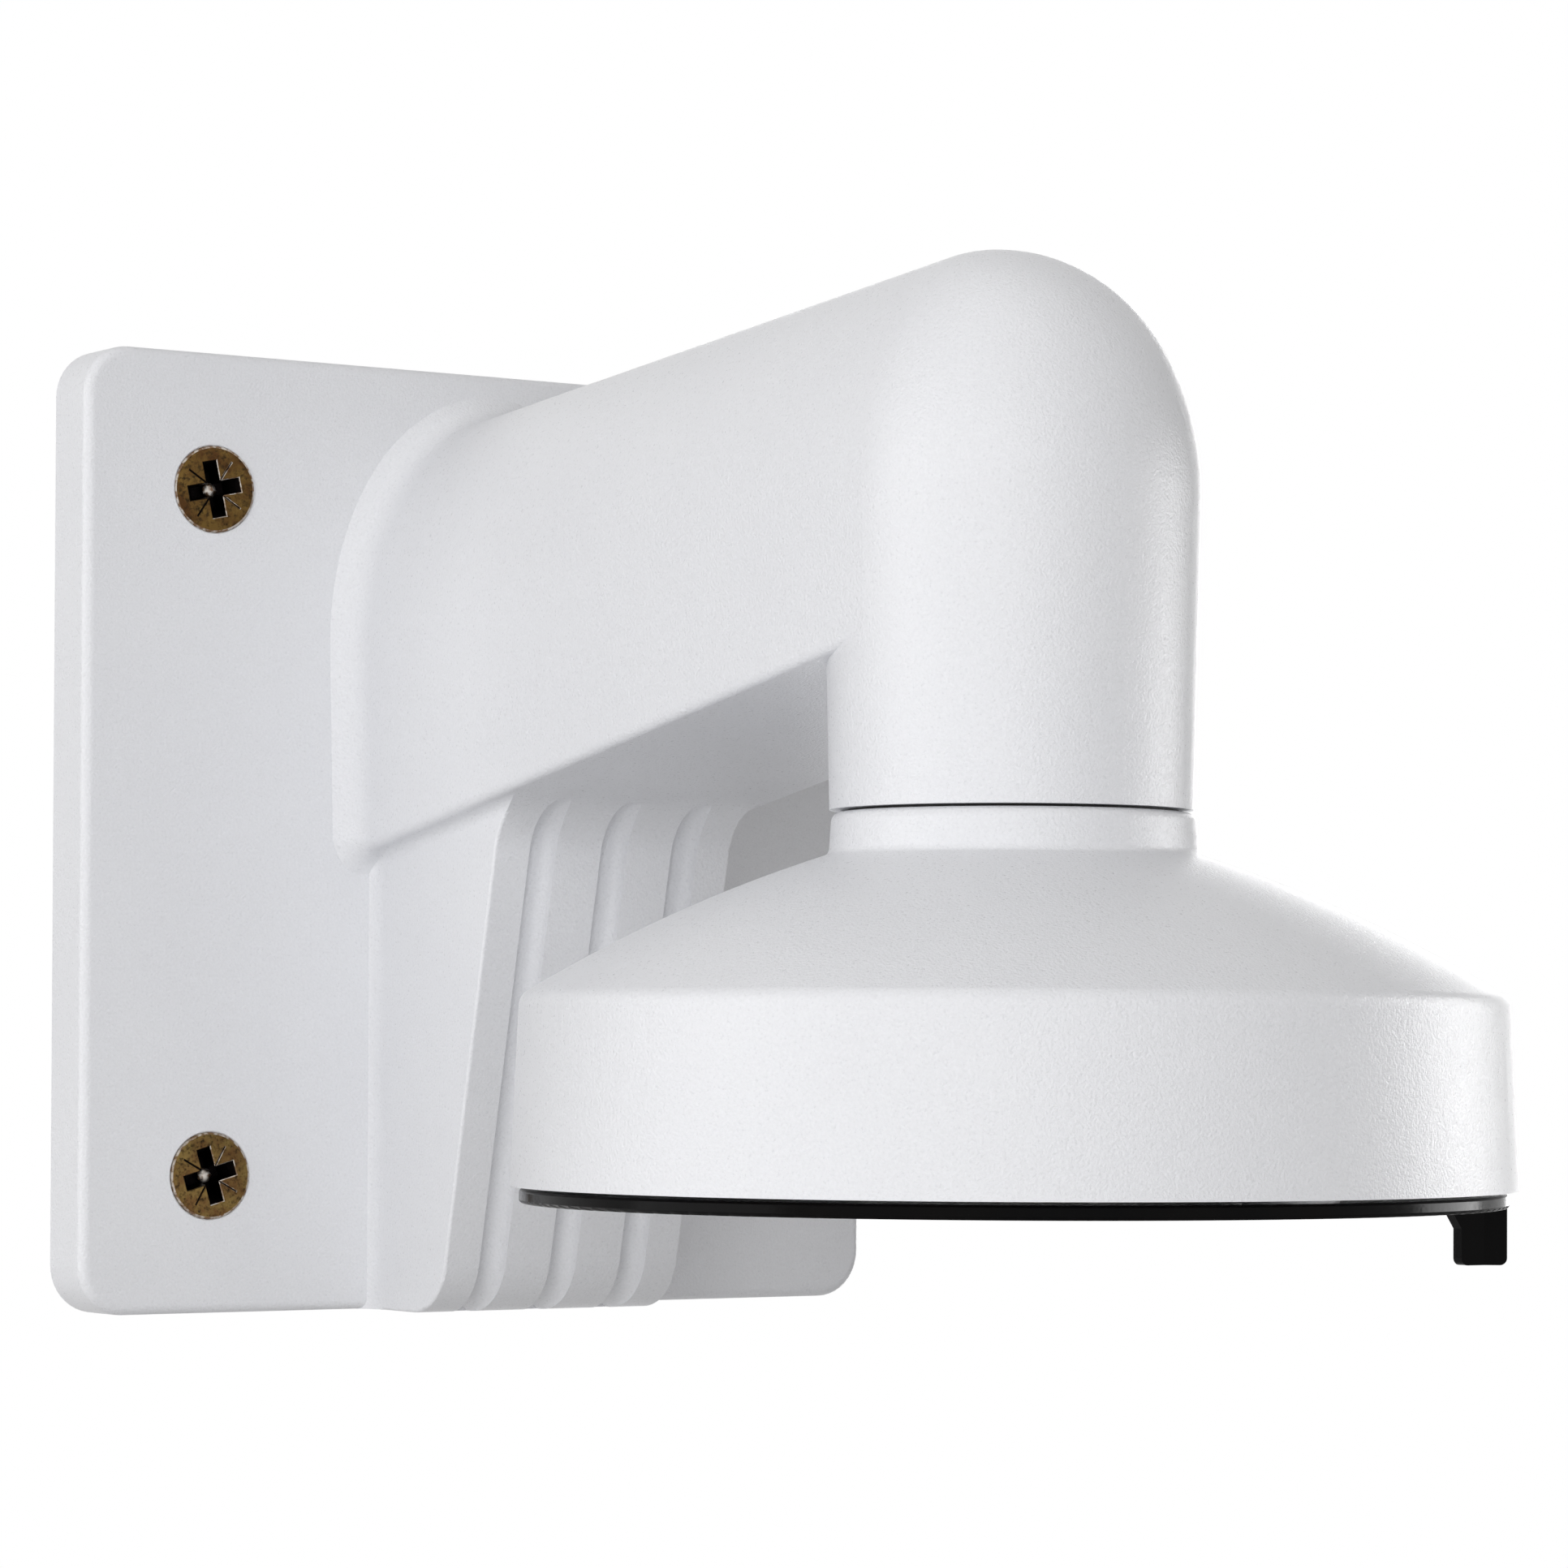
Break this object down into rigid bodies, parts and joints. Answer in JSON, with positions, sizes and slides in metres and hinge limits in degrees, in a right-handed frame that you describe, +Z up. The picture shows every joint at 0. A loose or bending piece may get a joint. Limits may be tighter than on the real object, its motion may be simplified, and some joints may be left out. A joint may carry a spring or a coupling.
{
  "type": "camera wall bracket",
  "caption": "Cast wall bracket for a dome camera: ribbed wall plate, hollow arm with a domed nose, bell-shaped cap, black camera plate and screws.",
  "frame": {"origin": "middle of the wall screw pattern, on the wall's plane", "axes": "+Y into the wall along the screws, +Z up, the arm reaches along -Y"},
  "size_m": [0.115, 0.2134, 0.1217],
  "materials": {
    "white_coat": "matt powder coat with a fine orange peel",
    "black_coat": "satin black coat",
    "seal_rubber": "matt",
    "plain_steel": "bright zinc",
    "yellow_steel": "yellow passivated zinc, a little dulled"
  },
  "bodies": {
    "root": {"bracket_casting": "white_coat", "cap": "white_coat", "neck_seal": "seal_rubber", "cap_screws": "plain_steel", "camera_plate": "black_coat", "plate_screws": "plain_steel", "wall_screws": "yellow_steel"}
  },
  "joints": []
}
